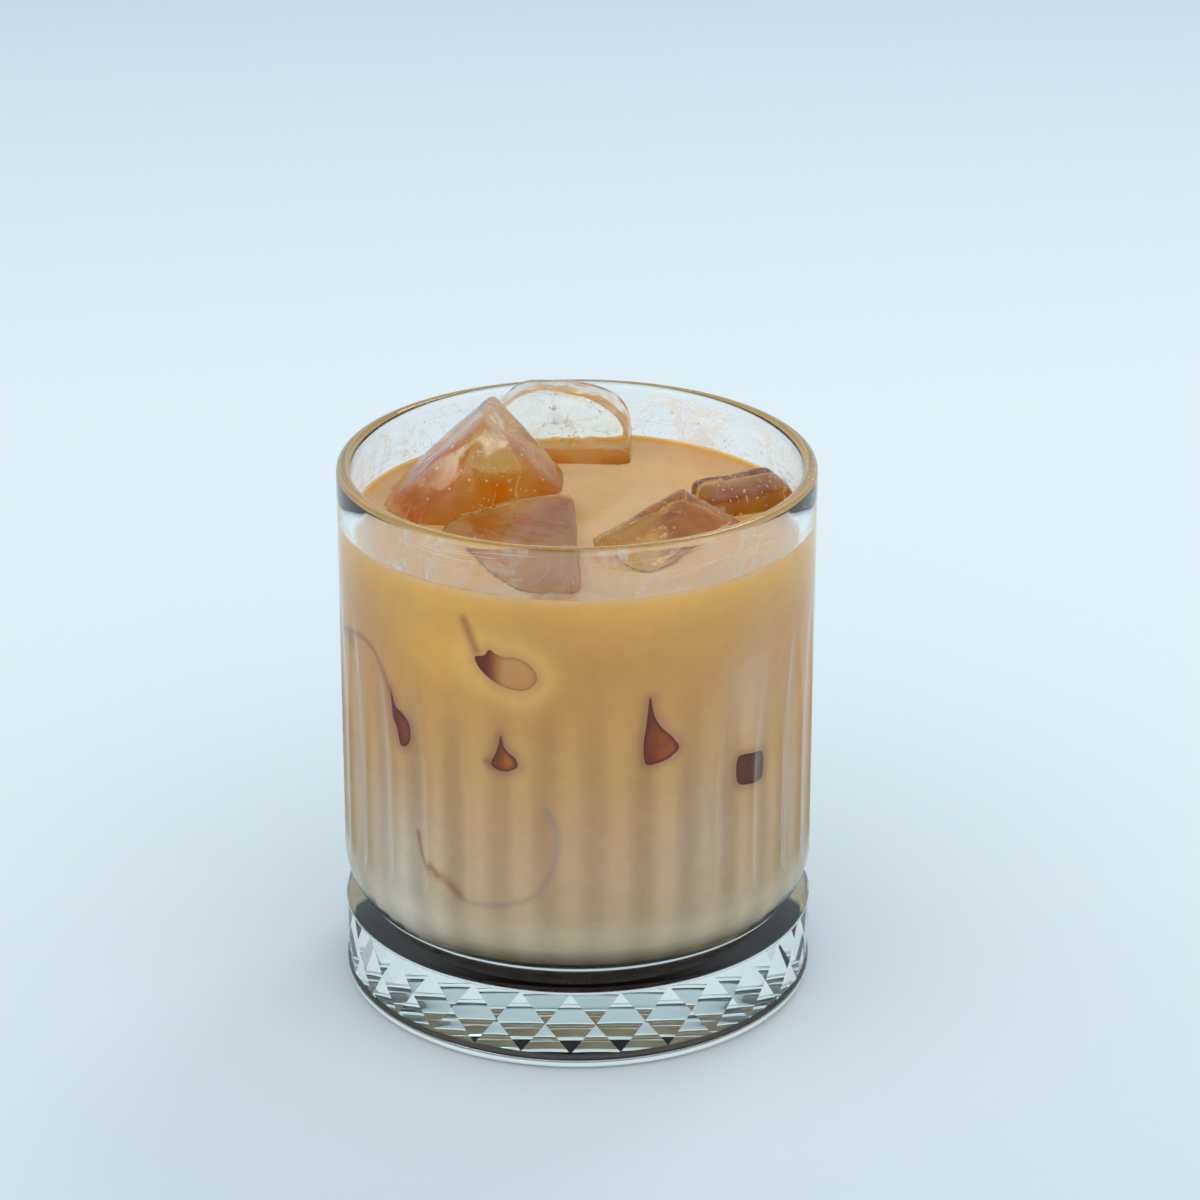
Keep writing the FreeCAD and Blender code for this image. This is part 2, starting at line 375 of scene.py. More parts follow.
def block_points(name, directions, inset=0.0, melt=0.0, seed=0):
    """Points of one block's surface: its rounded form less an inset and less melted hollows."""
    middle, normals, distances = block_planes(name)
    sharpness = SHARPNESS if distances.min() > 6 else THIN_SHARPNESS
    reach = block_reach(directions, normals, distances - inset, sharpness)
    points = directions * reach[:, None]
    if melt:
        dent = 0.5 + 0.5 * waves(points, seed, 9.0)
        ripple = 0.5 + 0.5 * waves(points, seed + 1, 3.2)
        reach = reach - melt * (0.8 * dent + 0.2 * ripple)
    return middle + directions * reach[:, None]


# ================================================================= the drink
# Milky coffee: opaque, smooth, orange-gold near its surface and paler with milk towards the floor,
# with a near-black underside that is painted shade. It fills the tumbler to the level, laps up the wall
# and opens round the ice.

INTO_WALL = 0.15                # how far the drink reaches into the glass, so that no air shows between
LAP = 0.75                      # how far the drink laps up the wall
LAP_WIDTH = 0.7
POCKET_INSET = 0.35             # how far the pockets lie inside the blocks' plain forms
DRINK_COLUMNS = 480
drink_angles = 360 / DRINK_COLUMNS * np.arange(DRINK_COLUMNS)
drink_low = FLOOR - INTO_WALL
side_heights = np.linspace(FLOOR + CORNER, LEVEL + 0.55, 108)[1:]
lap_radius = INSIDE_TOP - 0.02 - np.array([0.12, 0.3, 0.6, 1.0, 1.5, 2.1])
top_radius = np.concatenate([lap_radius, np.linspace(36.2, 0.0, 30)])
wall_here = inside_radius(LEVEL)
top_height = LEVEL + LAP * np.exp(-np.maximum(wall_here - top_radius, 0) / LAP_WIDTH)
drink_outline = np.concatenate([
    [(0.0, drink_low)],
    line_rows((0.0, drink_low), (corner_middle[0], drink_low), 6),
    arc_rows((corner_middle[0], drink_low), (INSIDE_LOW + INTO_WALL, FLOOR + CORNER), corner_middle, 16),
    np.stack([inside_radius(side_heights) + INTO_WALL, side_heights], -1),
    np.stack([top_radius, top_height], -1),
])
drink = closed_grid("milky_coffee", turned_points(drink_outline[:, :1], drink_outline[:, 1:], drink_angles))

pocket_directions, pocket_triangles = unit_sphere(5)
pockets = []
for block_name in ICE:
    pocket_points = block_points(block_name, pocket_directions, inset=POCKET_INSET)
    pocket = new_piece(f"pocket_{block_name}", pocket_points, pocket_triangles)
    cut = drink.modifiers.new(block_name, "BOOLEAN")
    cut.operation = "DIFFERENCE"
    cut.solver = "EXACT"
    cut.object = pocket
    pockets.append(pocket)
bpy.context.view_layer.update()
carved = bpy.data.meshes.new_from_object(drink.evaluated_get(bpy.context.evaluated_depsgraph_get()))
drink.modifiers.clear()
drink.data = carved
for pocket in pockets:
    bpy.data.objects.remove(pocket)

# outlines of the sunken blocks where they touch the wall: (angle, height) round each window
WINDOWS = {
    "left_high": [(-22.6, 77.0), (-21.2, 78.2), (-19.6, 77.6), (-17.4, 77.2), (-14.4, 77.3), (-11.2, 76.2),
                  (-9.4, 74.2), (-10.2, 72.5), (-12.6, 71.4), (-15.8, 71.4), (-19.0, 72.1), (-21.8, 73.2),
                  (-24.2, 74.9), (-24.9, 76.5)],
    "drop_low": [(-18.4, 62.6), (-17.4, 60.4), (-14.9, 58.7), (-14.4, 57.0), (-16.6, 56.0), (-19.6, 56.0),
                 (-21.3, 57.1), (-19.9, 59.2), (-19.0, 60.9)],
    "drop_tall": [(18.2, 69.7), (19.4, 66.3), (21.6, 63.5), (24.2, 61.4), (25.2, 59.5), (23.0, 57.8),
                  (19.6, 57.1), (17.0, 57.5), (16.5, 60.9), (17.2, 64.6), (17.7, 67.7)],
    "square": [(44.2, 54.3), (48.2, 54.2), (52.4, 53.2), (53.1, 50.4), (52.2, 48.3), (47.4, 48.4),
               (44.2, 49.3), (43.4, 51.8)],
    "left_blob": [(-51.5, 65.6), (-50.4, 62.6), (-48.0, 61.8), (-45.4, 60.2), (-45.2, 57.6), (-47.0, 55.8),
                  (-49.2, 55.6), (-50.3, 58.2), (-51.2, 61.6)],
}
# thin edges of ice that only graze the wall: (angle, height) along each, and its half width
STROKES = {
    "left_arc": ([(-79.0, 69.4), (-68.4, 71.7), (-62.5, 71.8), (-58.1, 70.7), (-54.4, 67.9),
                  (-51.2, 63.8)], 0.55),
    "low_ring": ([(-7.7, 49.3), (-5.2, 46.7), (-4.3, 43.6), (-5.0, 40.0), (-6.9, 36.1), (-10.4, 33.0),
                  (-14.8, 31.0), (-19.0, 30.0), (-23.0, 29.5), (-26.8, 29.5), (-30.0, 30.1),
                  (-33.4, 31.6)], 0.62),
    "low_smudge": ([(-30.5, 30.6), (-34.4, 32.4), (-37.8, 33.0)], 1.1),
    "low_tail": ([(-37.8, 33.0), (-41.0, 35.6), (-43.0, 40.0)], 0.55),
    "left_patch": ([(-77.0, 70.0), (-71.0, 69.0)], 1.4),
    "high_tail": ([(-27.8, 83.0), (-26.2, 80.2), (-24.6, 77.6)], 0.8),
    "low_trace": ([(-22.6, 57.3), (-20.6, 56.7)], 0.7),
}


def rounded_path(points, count, closed):
    """A Catmull-Rom curve through points, as count points.

    Between b and c, with a before and d after them, at a share t of the way, it is
    (2b + (c - a) t + (2a - 5b + 4c - d) t^2 + (3b - a - 3c + d) t^3) / 2.
    """
    points = np.array(points, float)
    if closed:
        padded = np.concatenate([points[-1:], points, points[:2]])
    else:
        padded = np.concatenate([2 * points[:1] - points[1:2], points, 2 * points[-1:] - points[-2:-1]])
    spans = len(padded) - 3
    place = np.linspace(0, spans, count, endpoint=not closed)
    span = np.minimum(place.astype(int), spans - 1)
    t = (place - span)[:, None]
    a, b, c, d = (padded[span + shift] for shift in range(4))
    square, cube = 2 * a - 5 * b + 4 * c - d, 3 * b - a - 3 * c + d
    return 0.5 * (2 * b + (c - a) * t + square * t ** 2 + cube * t ** 3)


# the drink's colour at each height of its side, from the floor up
SIDE_TONES = {
    20.3: (100, 92, 72), 22.0: (138, 130, 106), 25.0: (156, 144, 118), 31.0: (167, 146, 113),
    42.0: (167, 142, 107), 55.0: (170, 136, 87), 68.0: (172, 129, 78), 76.0: (175, 130, 76),
    82.0: (188, 140, 80), 86.5: (208, 154, 80), 88.0: (212, 165, 107),
}
# a golden patch, and pale patches that are painted light, the bright surroundings as the flutes show
# them, on the side: middle (angle, height), spread of both, tone and strength
PATCHES = [
    ((-34, 76), (17, 8), (222, 166, 78), 0.7),
    ((33, 40), (8, 15), (158, 150, 132), 0.6),
    ((-50, 29), (13, 15), (181, 179, 164), 0.8),
    ((48, 66), (10, 11), (184, 168, 140), 0.65),
]
LAP_TONE = (216, 158, 78)
SMEAR_TONE = (214, 168, 96)
HALO_TONE = (124, 92, 80)
RING_TONE = (138, 128, 112)
EDGE_TONE = (118, 84, 62)
# near-black painted shade for the drink's underside and, at the sides, its lowest band
UNDERSIDE_SHADE = (6, 4, 3)
# lighter and darker coffee round each block, as it shows through the ice; the darker one comes in
# below the surface as painted shade
POCKET_TONES = {
    "ice_tall": ((226, 170, 98), (226, 132, 6)),
    "ice_front": ((228, 178, 112), (218, 146, 62)),
    "ice_back": ((224, 166, 88), (222, 144, 46)),
    "ice_right": ((240, 204, 146), (206, 148, 100)),
    "ice_far_right": ((222, 160, 74), (196, 104, 10)),
}
PER_DEGREE = np.radians(1) * 39.2           # millimetres along the inner wall
SHEEN = 0.026                               # what the glass adds in linear light
PASS = np.array([0.39, 0.43, 0.435])        # what it lets through, in red, green and blue


def smooth_step(low, high, value):
    """From 0 at low to 1 at high: 3t^2 - 2t^3."""
    part = np.clip((value - low) / (high - low), 0, 1)
    return part * part * (3 - 2 * part)


def distance_to_path(angle, height, path, closed):
    """Distance along the wall, in millimetres, from each point to a path; negative inside a closed one."""
    path = path * (PER_DEGREE, 1)
    start = path if closed else path[:-1]
    run = (np.roll(path, -1, 0) if closed else path[1:]) - start
    here = np.stack([angle * PER_DEGREE, height], -1)[:, None, :]
    part = np.clip(((here - start) * run).sum(-1) / (run ** 2).sum(-1), 0, 1)
    distance = np.linalg.norm(here - start - part[..., None] * run, axis=-1).min(-1)
    if closed:
        crosses = (start[:, 1] > here[..., 1]) != (start[:, 1] + run[:, 1] > here[..., 1])
        rise = np.where(np.abs(run[:, 1]) < 1e-9, 1e-9, run[:, 1])
        side = start[:, 0] + (here[..., 1] - start[:, 1]) / rise * run[:, 0] > here[..., 0]
        distance = np.where((crosses & side).sum(-1) % 2 == 1, -distance, distance)
    return distance


def mixed(colour, tone, part):
    """Display colours from 0 to 1, blended by their parts with a tone given as 0 to 255."""
    return colour * (1 - part[:, None]) + np.asarray(tone) / 255 * part[:, None]


def bell(distance, spread):
    """exp(-(distance / spread)^2)."""
    return np.exp(-(distance / spread) ** 2)


def ice_at_wall(colour, angle, height):
    """Colours of the side, with the halos of the sunken windows and the grazing edges of sunken ice."""
    for name, window in WINDOWS.items():
        distance = distance_to_path(angle, height, rounded_path(window, 64, True), True)
        if name == "left_high":
            colour = mixed(colour, SMEAR_TONE, 0.75 * bell(np.maximum(distance - 1.4, 0), 2.6))
        halo = 0.3 if name == "left_high" else 0.55
        colour = mixed(colour, HALO_TONE, halo * bell(np.maximum(distance, 0), 1.2))
    for name, (stroke, half_width) in STROKES.items():
        distance = distance_to_path(angle, height, rounded_path(stroke, 48, False), False)
        tone = RING_TONE if name == "low_ring" else EDGE_TONE
        strength = 0.75 if half_width < 1 else 0.5
        colour = mixed(colour, tone, strength * bell(distance, half_width))
    return colour


def pocket_colours(points):
    """Colours of the pockets' walls, by the nearest block: light coffee near the surface, and darker
    drifts below it, a painted shade that deepens downwards.
    """
    middles = np.array([block_planes(name)[0] for name in ICE])
    nearest = np.linalg.norm(points[:, None] - middles, axis=-1).argmin(-1)
    light, dark = (np.array([POCKET_TONES[name][shade] for name in ICE])[nearest] / 255 for shade in (0, 1))
    band = bell(points[:, 0] + 18.5, 3.2) * (points[:, 1] > -4)
    deep = np.clip(smooth_step(0.1, 0.7, waves(points, 61, 12.0)) + band, 0, 1)
    right_block = nearest == list(ICE).index("ice_right")
    deep = np.where(right_block, smooth_step(12.5, 16.5, points[:, 0]), deep)
    # painted shade: the darker coffee only comes in below the surface
    deep = (deep * smooth_step(LEVEL - 0.5, LEVEL - 3.0, points[:, 2]))[:, None]
    return light * (1 - deep) + dark * deep


def drink_colours(points):
    """Display colours, 0 to 1, of the drink at points in millimetres.

    The side has its tones by height, patches, ice at the wall and streaks below the ridges; the streaks
    are painted light and shade from the flutes, and the pale patches are painted light. The lap round
    the surface is golden, and the underside is painted near-black shade, reaching higher at the sides.
    """
    x, y, z = points.T
    angle = np.degrees(np.arctan2(x, -y))
    reach = np.hypot(x, y)
    shades = np.array(list(SIDE_TONES.values())) / 255
    colour = np.stack([np.interp(z, list(SIDE_TONES), shade) for shade in shades.T], -1)
    broad = waves(points, 3, 38.0)
    fine = waves(points * (1, 1, 0.6), 4, 11.0)
    colour = colour * (1 + 0.035 * broad + 0.018 * fine)[:, None]
    side = (reach > inside_radius(z) - 0.4) | (z < FLOOR + CORNER)
    # the golden patch, and the pale ones that are painted light from the flutes
    for (middle, height), (across, upright), tone, strength in PATCHES:
        patch = np.exp(-((angle - middle) / across) ** 2 - ((z - height) / upright) ** 2)
        colour = mixed(colour, tone, strength * patch)
    lap = bell(np.maximum(inside_radius(z) - reach, 0), 1.6) * (z > LEVEL - 0.2)
    colour = mixed(colour, LAP_TONE, 0.8 * lap * smooth_step(70, 120, np.abs(angle)))
    near = side & (np.abs(angle) < 95)
    colour[near] = ice_at_wall(colour[near], angle[near], z[near])

    corner = side & (z < FLOOR + CORNER)
    colour[corner] *= (1 + 0.22 * smooth_step(FLOOR + CORNER, FLOOR + 3, z[corner]))[:, None]
    # painted light and shade from the flutes: the lower side lighter behind each ridge, darker between
    uneven = waves(np.stack([angle, 0 * z, 0 * z], -1), 5, 9.0)
    streak = np.cos(np.radians(angle - FIRST_RIDGE) * FLUTES) + 0.6 * uneven
    colour = colour * (1 + 0.045 * streak * side * smooth_step(74, 52, z))[:, None]
    colour[side] = behind_glass(colour[side])
    pocket = ~side & (z < LEVEL - 0.25) & (z > FLOOR + 12)
    colour[pocket] = pocket_colours(points[pocket])
    # painted shade: the underside is near-black, and at the sides so is a band up to 2.6 mm higher
    under = z < FLOOR + 0.7 + 2.6 * smooth_step(42, 75, np.abs(angle))
    colour[under] = np.array(UNDERSIDE_SHADE) / 255
    return colour


def paint(piece, colours):
    """Writes display colours as the piece's own vertex colours, in linear light."""
    bright = to_linear(np.clip(colours, 0, 1))
    solid = np.concatenate([bright, np.ones((len(bright), 1))], -1)
    layer = piece.data.color_attributes.new("tone", "FLOAT_COLOR", "POINT")
    layer.data.foreach_set("color", solid.astype(np.float32).ravel())


def behind_glass(colours):
    """Display colours of a matt surface that touches glass, from those that should be seen through it.

    The glass adds its own sheen and turns back a share of what the surface scatters, so in linear
    light a tone t needs the surface tone (t - sheen) / (pass + turned_back (t - sheen)).
    """
    turned_back = 0.475
    bright = np.maximum(to_linear(colours) - SHEEN, 0.001)
    bright = np.clip(bright / (PASS + turned_back * bright), 0, 0.97)
    return np.where(bright <= 0.0031308, bright * 12.92, 1.055 * bright ** (1 / 2.4) - 0.055)


def vertex_points(piece):
    """The piece's points, in millimetres."""
    flat = np.empty(len(piece.data.vertices) * 3, np.float32)
    piece.data.vertices.foreach_get("co", flat)
    return flat.reshape(-1, 3).astype(float) / MM


paint(drink, drink_colours(vertex_points(drink)))


def coffee_flecks():
    """Node group from Tone to Color: the tone times a fine noise of 0.965 to 1.03."""
    group = bpy.data.node_groups.new("coffee_flecks", "ShaderNodeTree")
    group.interface.new_socket("Tone", in_out="INPUT", socket_type="NodeSocketColor")
    group.interface.new_socket("Color", in_out="OUTPUT", socket_type="NodeSocketColor")
    tone = add_node(group, "NodeGroupInput")
    place = add_node(group, "ShaderNodeTexCoord")
    grain = add_node(group, "ShaderNodeTexNoise", inputs={"Vector": place.outputs["Object"]},
                     values={"Scale": 420.0, "Detail": 3.0})
    fleck = add_node(group, "ShaderNodeMapRange", inputs={"Value": grain.outputs["Fac"]},
                     values={"From Min": 0.3, "From Max": 0.7, "To Min": 0.965, "To Max": 1.03})
    toned = add_node(group, "ShaderNodeMix", {"data_type": "RGBA", "blend_type": "MULTIPLY"},
                     inputs={"A": tone.outputs["Tone"], "B": fleck.outputs["Result"]},
                     values={"Factor": 1.0})
    add_node(group, "NodeGroupOutput", inputs={"Color": toned.outputs["Result"]})
    return group


flecks = coffee_flecks()


def drink_material(name, shine, roughness):
    """Opaque milky coffee in its piece's own tones, flecked, as shiny and as rough as given."""
    material, shader, _ = new_material(name)
    tree = material.node_tree
    tone = add_node(tree, "ShaderNodeAttribute", {"attribute_name": "tone"})
    flecked = add_node(tree, "ShaderNodeGroup", {"node_tree": flecks}, inputs={"Tone": tone.outputs["Color"]})
    tree.links.new(flecked.outputs["Color"], shader.inputs["Base Color"])
    shader.inputs["Roughness"].default_value = roughness
    shader.inputs["IOR"].default_value = 1.34
    shader.inputs["Specular IOR Level"].default_value = shine
    return material


drink.data.materials.clear()
matt_coffee = drink_material("milky_coffee", 0.0, 0.6)
wet_coffee = drink_material("milky_coffee_top", 0.5, 0.12)
drink.data.materials.append(matt_coffee)
drink.data.materials.append(wet_coffee)
face_middles = np.empty(len(drink.data.polygons) * 3, np.float32)
drink.data.polygons.foreach_get("center", face_middles)
face_middles = face_middles.reshape(-1, 3) / MM
open_surface = (face_middles[:, 2] > LEVEL - 0.05) & (np.hypot(*face_middles[:, :2].T) < wall_here - 0.1)
drink.data.polygons.foreach_set("material_index", open_surface.astype(np.int32))
drink.data.polygons.foreach_set("use_smooth", np.ones(len(open_surface), bool))
belongs(drink, "drink")

# ================================================================= sunken ice
# Faces of sunken blocks that press against the wall: glassy windows into the drink, painted dark as
# the shaded drink behind the ice, each a shallow lens that stands just proud of the drink inside the
# tumbler's wall.

# the dark edge, which is painted shade, and the amber middle of each window
WINDOW_TONES = {
    "left_high": ((84, 50, 28), (170, 124, 78)),
    "drop_low": ((84, 52, 34), (162, 98, 42)),
    "drop_tall": ((82, 50, 32), (142, 82, 38)),
    "square": ((72, 52, 42), (88, 60, 46)),
    "left_blob": ((80, 52, 38), (110, 68, 42)),
}
# a lens from the middle of its face round to that of its back: shares of the way to its outline, and
# heights over the drink's side
lens_spread = np.array([0, 0.25, 0.5, 0.7, 0.85, 0.95, 1, 1, 0.5, 0])[:, None, None]
lens_swell = np.array([0.16, 0.155, 0.14, 0.12, 0.09, 0.06, 0.03, -0.25, -0.3, -0.3])[:, None]
for window_name, window in WINDOWS.items():
    path = rounded_path(window, 96, True)
    middle = path.mean(0)
    place = middle + lens_spread * (path - middle)
    lens_radius = inside_radius(place[..., 1]) + INTO_WALL + lens_swell
    piece = closed_grid("sunken_ice_" + window_name,
                        turned_points(lens_radius, place[..., 1], place[..., 0]))
    edge_tone, inner_tone = WINDOW_TONES[window_name]
    points = vertex_points(piece)
    angle = np.degrees(np.arctan2(points[:, 0], -points[:, 1]))
    inner = -distance_to_path(angle, points[:, 2], path, True)
    streak = 0.5 + 0.5 * waves(points, 41, 2.6)
    # painted shade: each window darker towards its left side
    aside = smooth_step(path[:, 0].min() + 1.5, path[:, 0].max() - 1.5, angle)
    part = smooth_step(0.0, 1.0, inner) * (0.55 + 0.45 * streak) * (0.35 + 0.65 * aside)
    if window_name == "left_high":
        part = smooth_step(-22.5, -17.0, angle) * (0.75 + 0.25 * smooth_step(0.0, 0.8, inner))
    tones = mixed(np.tile(np.array(edge_tone) / 255, (len(points), 1)), inner_tone, part)
    paint(piece, behind_glass(tones))
    piece.data.materials.append(matt_coffee)
    belongs(piece)

# ================================================================= floating ice
# Five blocks of clear ice, wet and faintly clouded, with milky films, fractures and small bubbles.

def ice_material(name, stain, cleared, frosting):
    """Clear ice: stained by coffee low down, cleared higher up, with milky frost that grows upwards.

    The frost is noise, from none to the given frosting, times 0.03 low down and 0.97 at the top.
    """
    material, shader, _ = new_material(name)
    tree = material.node_tree
    shader.inputs["IOR"].default_value = 1.31
    shader.inputs["Roughness"].default_value = 0.04
    place = add_node(tree, "ShaderNodeTexCoord")
    pits = add_node(tree, "ShaderNodeTexNoise", inputs={"Vector": place.outputs["Object"]},
                    values={"Scale": 300.0, "Detail": 4.0})
    dents = add_node(tree, "ShaderNodeBump", inputs={"Height": pits.outputs["Fac"]},
                     values={"Strength": 0.35, "Distance": 0.0006})
    tree.links.new(dents.outputs["Normal"], shader.inputs["Normal"])
    swirl = add_node(tree, "ShaderNodeTexNoise", inputs={"Vector": place.outputs["Object"]},
                     values={"Scale": 95.0, "Detail": 5.0, "Roughness": 0.62, "Distortion": 1.6})
    frost = add_node(tree, "ShaderNodeMapRange", {"interpolation_type": "SMOOTHSTEP"},
                     inputs={"Value": swirl.outputs["Fac"]},
                     values={"From Min": 0.52, "From Max": 0.74, "To Min": 0.0, "To Max": frosting})
    parts = add_node(tree, "ShaderNodeSeparateXYZ", inputs={"Vector": place.outputs["Object"]})
    upper = add_node(tree, "ShaderNodeMapRange", inputs={"Value": parts.outputs["Z"]},
                     values={"From Min": (LEVEL + 2) * MM, "From Max": (LEVEL + 13) * MM,
                             "To Min": 0.0, "To Max": 1.0})
    growing = add_node(tree, "ShaderNodeMath", {"operation": "MULTIPLY_ADD"},
                       inputs={0: upper.outputs["Result"]}, values={1: 0.94, 2: 0.03})
    film = add_node(tree, "ShaderNodeMath", {"operation": "MULTIPLY"},
                    inputs={0: frost.outputs["Result"], 1: growing.outputs["Value"]})
    clear = add_node(tree, "ShaderNodeMix", {"data_type": "RGBA"},
                     inputs={"Factor": upper.outputs["Result"]},
                     values={"A": (*stain, 1), "B": (*cleared, 1)})
    coat = add_node(tree, "ShaderNodeMix", {"data_type": "RGBA"},
                    inputs={"Factor": film.outputs["Value"], "A": clear.outputs["Result"]},
                    values={"B": linear(238, 222, 194)})
    tree.links.new(coat.outputs["Result"], shader.inputs["Base Color"])
    clearness = add_node(tree, "ShaderNodeMath", {"operation": "SUBTRACT"},
                         inputs={1: film.outputs["Value"]}, values={0: 1.0})
    tree.links.new(clearness.outputs["Value"], shader.inputs["Transmission Weight"])
    return material


stained_ice = ice_material("ice_stained", (1.0, 0.88, 0.46), (1.0, 0.95, 0.74), 0.6)
clear_ice = ice_material("ice_clear", (1.0, 0.96, 0.86), (1.0, 0.99, 0.97), 0.5)
MELT = 0.45                     # depth of the melted hollows
fine_sphere = unit_sphere(6)
for order, block_name in enumerate(ICE):
    large = block_name in ("ice_tall", "ice_front")
    directions, triangles = fine_sphere if large else (pocket_directions, pocket_triangles)
    surface = block_points(block_name, directions, melt=MELT, seed=20 + 2 * order)
    block = new_piece(block_name + "_block", surface, triangles)
    block.data.materials.append(clear_ice if block_name == "ice_back" else stained_ice)
    belongs(block, block_name)

# bubbles frozen in just under the faces that stand out of the drink, and fine white cracks
air, shader, _ = new_material("frozen_air")
shader.inputs["Base Color"].default_value = linear(246, 236, 222)
shader.inputs["Roughness"].default_value = 0.25
shader.inputs["Alpha"].default_value = 0.75


def scattered(name, centres, sizes):
    """One piece of many small balls, each at its centre and of its own size."""
    directions, triangles = unit_sphere(2)
    points = centres[:, None] + directions * sizes[:, None, None]
    faces = triangles + len(directions) * np.arange(len(centres))[:, None, None]
    return new_piece(name, points.reshape(-1, 3), faces.reshape(-1, 3))


def exposed_directions(random, count, low, high):
    """Seeded random directions from a block's middle with an upward part from low to high."""
    upward = random.uniform(low, high, count)
    turn = random.uniform(0, 2 * np.pi, count)
    level = np.sqrt(1 - upward ** 2)
    return np.stack([level * np.cos(turn), level * np.sin(turn), upward], -1)


# how many bubbles each block has, and the seed that places them
BUBBLES = {"ice_tall": (150, 20), "ice_front": (40, 22), "ice_back": (24, 24), "ice_right": (30, 26),
           "ice_far_right": (60, 28)}
for block_name, (count, seed) in BUBBLES.items():
    random = np.random.default_rng(seed)
    directions = exposed_directions(random, count, 0.05, 0.95)
    surface = block_points(block_name, directions, melt=MELT, seed=seed)
    sizes = random.uniform(0.10, 0.28, count) * random.choice([0.7, 1.0, 1.5], count, p=[0.5, 0.4, 0.1])
    centres = surface - directions * (0.30 + random.exponential(0.6, count))[:, None]
    bubbles = scattered(block_name + "_bubbles", centres, sizes)
    bubbles.data.materials.append(air)
    belongs(bubbles)

SIDES = 6                       # of a crack or a tide line, which are both thin threads


def thread(line, width):
    """Points of a thin thread along a line: rings whose radius is width sqrt(1 - u^2), u from -1 to 1."""
    along = np.gradient(line, axis=0)
    along /= np.linalg.norm(along, axis=1, keepdims=True)
    side = np.cross(along, (0.3, 0.2, 0.93))
    side /= np.linalg.norm(side, axis=1, keepdims=True)
    other = np.cross(along, side)
    turn = 2 * np.pi * np.arange(SIDES)[:, None] / SIDES
    girth = width * np.sqrt(np.clip(1 - np.linspace(-1, 1, len(line)) ** 2, 0.004, 1))[:, None, None]
    rings = line[:, None] + girth * (np.cos(turn) * side[:, None] + np.sin(turn) * other[:, None])
    return rings.reshape(-1, 3)


def thread_faces(count, points_each):
    """Quads and end caps of a number of threads, each of as many points along its line."""
    row = SIDES * np.arange(points_each - 1)[:, None]
    across = np.arange(SIDES)
    beside = (across + 1) % SIDES
    quads = np.stack([row + across, row + beside, row + SIDES + beside, row + SIDES + across], -1)
    last = SIDES * (points_each - 1)
    caps = [[0, 3, 2, 1], [0, 5, 4, 3],
            [last, last + 1, last + 2, last + 3], [last, last + 3, last + 4, last + 5]]
    one = np.concatenate([quads.reshape(-1, 4), caps])
    return (one + SIDES * points_each * np.arange(count)[:, None, None]).reshape(-1, 4)


CRACK_POINTS = 22               # along each crack
# how many cracks each block has, and the seed that places them
CRACKS = {"ice_tall": (9, 30), "ice_front": (8, 32), "ice_back": (7, 34), "ice_right": (6, 36),
          "ice_far_right": (6, 38)}
for order, (block_name, (count, seed)) in enumerate(CRACKS.items()):
    random = np.random.default_rng(seed)
    starts = exposed_directions(random, count, 0.1, 0.95)
    runs = random.normal(size=(count, 3)) * 0.2
    part = np.linspace(-1, 1, CRACK_POINTS)[:, None]
    threads = []
    for number in range(count):
        bend = np.cross(starts[number], runs[number]) * 0.35 * part ** 2
        way = starts[number] + part * runs[number] + bend
        way = way + 0.02 * np.stack([waves(way, seed + axis, 0.8) for axis in range(3)], -1)
        way /= np.linalg.norm(way, axis=1, keepdims=True)
        line = block_points(block_name, way, inset=0.12, melt=MELT, seed=20 + 2 * order)
        threads.append(thread(line, random.uniform(0.04, 0.09)))
    cracks = new_piece(block_name + "_cracks", np.concatenate(threads), thread_faces(count, CRACK_POINTS))
    cracks.data.materials.append(air)
    belongs(cracks)

# ================================================================= residue on the wall
# Milk splashed on the inner wall above the drink: fine dried specks, a thin uneven film and the
# tide lines of the drink as it was poured and carried.

SPECKS = 420
LARGEST_SPECK = 0.32
random = np.random.default_rng(7)
at_back = random.random(SPECKS) < 0.6
speck_angle = np.where(at_back, random.normal(150, 40, SPECKS), random.uniform(-180, 180, SPECKS))
speck_height = LEVEL + 1.2 + random.beta(1.3, 2.2, SPECKS) * (HEIGHT - LEVEL - 3.5)
speck_size = random.exponential(0.05, SPECKS) + 0.04
speck_middle = turned_points(inside_radius(speck_height) - 0.02, speck_height, speck_angle)
specks = scattered("milk_specks", speck_middle, np.minimum(speck_size, LARGEST_SPECK))
dried_milk, shader, _ = new_material("dried_milk")
shader.inputs["Base Color"].default_value = linear(250, 240, 224)
shader.inputs["Roughness"].default_value = 0.5
shader.inputs["Alpha"].default_value = 0.5
specks.data.materials.append(dried_milk)
belongs(specks)

# the film: a thin closed sleeve, its outline going up beside the wall and down again further in
FILM_ROWS = 16
film_heights = np.linspace(LEVEL + 0.3, HEIGHT - 1.6, FILM_ROWS)
film_heights = np.concatenate([film_heights, film_heights[::-1]])
film_depth = np.repeat([0.06, 0.10], FILM_ROWS)
film_angles = np.arange(0, 360, 1.5)
film_radius = inside_radius(film_heights) - film_depth
sleeve = turned_points(film_radius[:, None], film_heights[:, None], film_angles)
across = np.arange(len(film_angles))
beside = (across + 1) % len(film_angles)
row = len(film_angles) * np.arange(2 * FILM_ROWS)[:, None]
after = np.roll(row, -1, axis=0)
film_faces = np.stack([row + across, row + beside, after + beside, after + across], -1).reshape(-1, 4)
milk_film = new_piece("milk_film", sleeve.reshape(-1, 3), film_faces)
thin_milk, shader, _ = new_material("thin_milk")
shader.inputs["Base Color"].default_value = linear(244, 236, 224)
shader.inputs["Roughness"].default_value = 0.55
shader.inputs["Specular IOR Level"].default_value = 0.2
tree = thin_milk.node_tree
place = add_node(tree, "ShaderNodeTexCoord")
